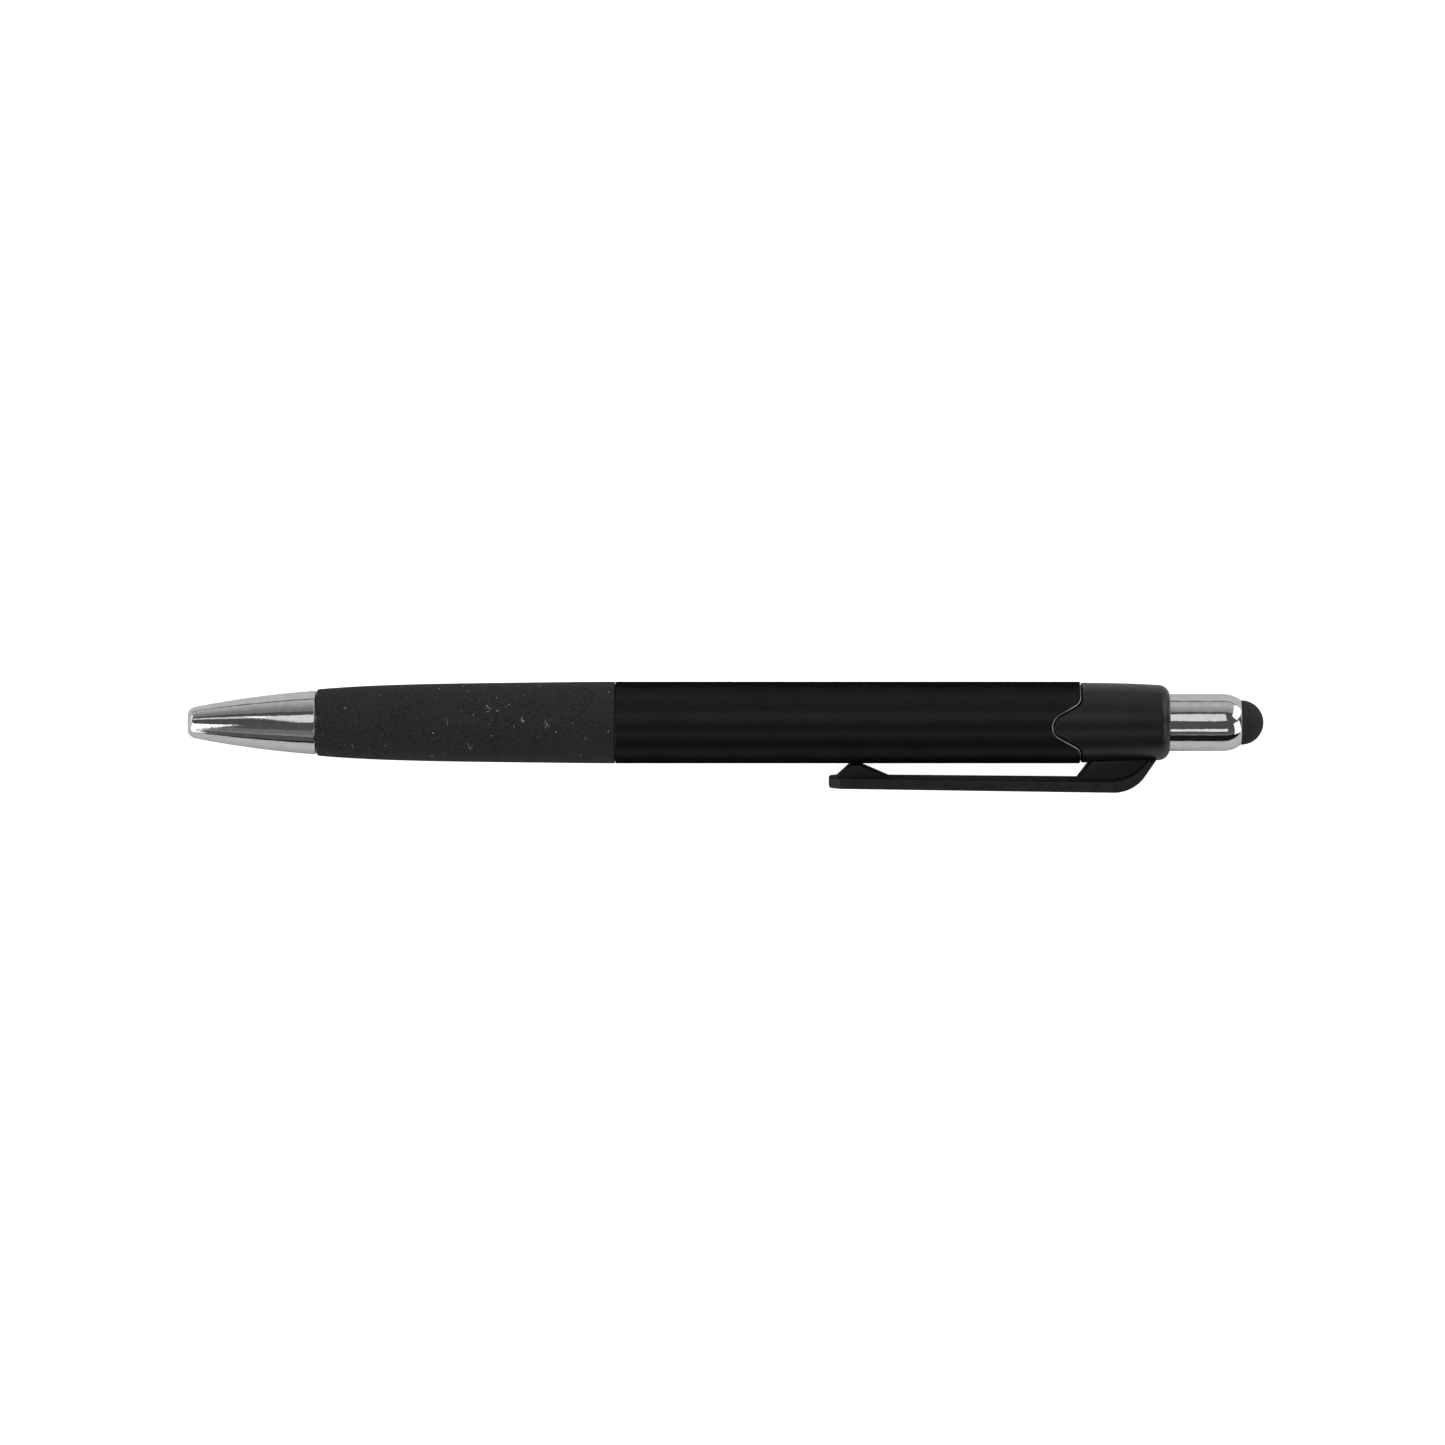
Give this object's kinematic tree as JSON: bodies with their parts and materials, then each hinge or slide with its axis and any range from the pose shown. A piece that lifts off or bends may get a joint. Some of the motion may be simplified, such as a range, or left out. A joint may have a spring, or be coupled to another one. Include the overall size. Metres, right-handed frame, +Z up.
{
  "type": "retractable ballpoint pen",
  "caption": "Click ballpoint pen with tapered chrome nose, rubber grip, pocket clip and a rubber-domed chrome button that moves the refill.",
  "frame": {"origin": "centre of the footprint of the pen as it lies at rest on its barrel and clip, at the surface it lies on", "axes": "+X along the pen from the writing point to the button, +Z up, -Y on the clip's side"},
  "size_m": [0.142, 0.0149, 0.0108],
  "materials": {
    "chrome": "bright chrome plate",
    "grip_rubber": "matt moulded rubber",
    "barrel_black": "satin black",
    "cap_black": "fine matt black",
    "stylus_rubber": "smooth matt rubber",
    "acetal": "natural moulded acetal",
    "spring_steel": "drawn spring wire",
    "refill_plastic": "clear moulded plastic",
    "ink": "ink",
    "grease": "clear grease",
    "brass": "turned brass",
    "point_metal": "turned nickel silver",
    "carbide": "polished carbide"
  },
  "bodies": {
    "barrel": {"barrel": "barrel_black", "grip_sleeve": "grip_rubber", "rear_cap": "cap_black", "cam_guide": "acetal"},
    "clip": {"pocket_clip": "cap_black"},
    "spring": {"return_spring": "spring_steel"},
    "nose": {"nose_cone": "chrome"},
    "plunger": {"plunger_shell": "chrome", "stylus_dome": "stylus_rubber", "stylus_plug": "acetal", "pusher_cam": "acetal"},
    "refill": {"refill_tube": "refill_plastic", "ink_column": "ink", "grease_follower": "grease", "point_holder": "brass", "refill_point": "point_metal"},
    "rotor": {"rotor_cam": "acetal"},
    "ball": {"writing_ball": "carbide"}
  },
  "joints": [
    {"name": "plunger_press", "type": "slide", "parent": "barrel", "child": "plunger", "axis": [-1, 0, 0], "range_m": [0, 0.006], "stiffness_N_per_m": 400, "springref_m": -0.004},
    {"name": "refill_slide", "type": "slide", "parent": "barrel", "child": "refill", "axis": [-1, 0, 0], "range_m": [0, 0.005], "deforming": ["return_spring"]},
    {"name": "rotor_turn", "type": "hinge", "parent": "refill", "child": "rotor", "pos_m": [0.034, 0.00205, 0.0054], "axis": [1, 0, 0], "range_deg": [0, 22.5]},
    {"name": "ball_roll", "type": "hinge", "parent": "refill", "child": "ball", "pos_m": [-0.0697, 0.00205, 0.0054], "axis": [0, -0.2682, 0.9634], "continuous": true},
    {"name": "nose_travel", "type": "slide", "parent": "barrel", "child": "spring", "axis": [-1, 0, 0], "range_m": [0, 0.004]},
    {"name": "nose_unscrew", "type": "hinge", "parent": "spring", "child": "nose", "pos_m": [-0.051, 0.00205, 0.0054], "axis": [-1, 0, 0], "range_deg": [0, 1440]},
    {"name": "clip_flex", "type": "hinge", "parent": "barrel", "child": "clip", "pos_m": [0.055, -0.00286, 0.00403], "axis": [0, -0.2682, 0.9634], "range_deg": [0, 3], "stiffness_Nm_per_rad": 2.9, "springref_deg": -1.15}
  ],
  "couplings": [
    {"joint": "refill_slide", "follows": "plunger_press", "ratio": 0.83333},
    {"joint": "rotor_turn", "follows": "plunger_press", "rad_per_m": 65.45},
    {"joint": "nose_unscrew", "follows": "nose_travel", "rad_per_m": 6283.2}
  ]
}
